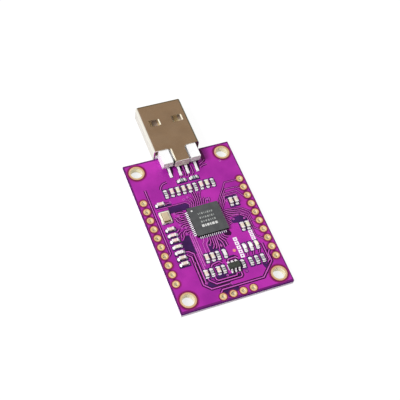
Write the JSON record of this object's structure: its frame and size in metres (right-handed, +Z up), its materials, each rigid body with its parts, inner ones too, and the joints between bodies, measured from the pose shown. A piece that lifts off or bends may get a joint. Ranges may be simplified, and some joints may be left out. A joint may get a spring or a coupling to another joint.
{
  "type": "usb to serial adapter module",
  "caption": "Small circuit board with a USB-A plug at one end, a square controller chip and plated header and mounting holes, for linking a serial port to a computer.",
  "frame": {"origin": "centre of the rectangle of four mounting holes, on the board's underside", "axes": "+X across the board, +Y along the board towards the USB plug, +Z up out of the component side"},
  "size_m": [0.0282, 0.0564, 0.0047],
  "materials": {
    "solder_mask": "glossy purple mask over copper and laminate",
    "gold_plating": "bright flat gold over copper",
    "plug_steel": "bright plated sheet",
    "white_moulding": "satin",
    "moulding_compound": "fine matt",
    "tin_plating": "bright tin",
    "capacitor_ceramic": "satin tan ceramic with tinned ends",
    "resistor_ceramic": "glossy dark face with tinned ends",
    "lamp_resin": "clear pale resin",
    "crystal_ceramic": "matt",
    "crystal_metal": "satin lid",
    "bare_copper": "bright copper"
  },
  "bodies": {
    "root": {"capacitor_1": "capacitor_ceramic", "capacitor_10": "capacitor_ceramic", "capacitor_11": "capacitor_ceramic", "capacitor_12": "capacitor_ceramic", "capacitor_13": "capacitor_ceramic", "capacitor_14": "capacitor_ceramic", "capacitor_15": "capacitor_ceramic", "capacitor_16": "capacitor_ceramic", "capacitor_17": "capacitor_ceramic", "capacitor_18": "capacitor_ceramic", "capacitor_19": "capacitor_ceramic", "capacitor_2": "capacitor_ceramic", "capacitor_3": "capacitor_ceramic", "capacitor_4": "capacitor_ceramic", "capacitor_5": "capacitor_ceramic", "capacitor_6": "capacitor_ceramic", "capacitor_7": "capacitor_ceramic", "capacitor_8": "capacitor_ceramic", "capacitor_9": "capacitor_ceramic", "circuit_board": "solder_mask", "crystal_base": "crystal_ceramic", "crystal_lid": "crystal_metal", "end_row_hole_rings": "gold_plating", "header_hole_rings_left": "gold_plating", "header_hole_rings_right": "gold_plating", "led_1": "lamp_resin", "led_2": "lamp_resin", "led_3": "lamp_resin", "main_chip": "moulding_compound", "main_chip_leads": "tin_plating", "main_chip_solder": "tin_plating", "mounting_hole_rings": "gold_plating", "regulator_body": "moulding_compound", "regulator_leads": "tin_plating", "resistor_1": "resistor_ceramic", "resistor_10": "resistor_ceramic", "resistor_11": "resistor_ceramic", "resistor_12": "resistor_ceramic", "resistor_13": "resistor_ceramic", "resistor_14": "resistor_ceramic", "resistor_15": "resistor_ceramic", "resistor_16": "resistor_ceramic", "resistor_2": "resistor_ceramic", "resistor_3": "resistor_ceramic", "resistor_4": "resistor_ceramic", "resistor_5": "resistor_ceramic", "resistor_6": "resistor_ceramic", "resistor_7": "resistor_ceramic", "resistor_8": "resistor_ceramic", "resistor_9": "resistor_ceramic", "solder_joints": "tin_plating", "test_pad": "bare_copper", "usb_contact_1": "gold_plating", "usb_contact_2": "gold_plating", "usb_contact_3": "gold_plating", "usb_contact_4": "gold_plating", "usb_insulator": "white_moulding", "usb_shell": "plug_steel"}
  },
  "joints": []
}
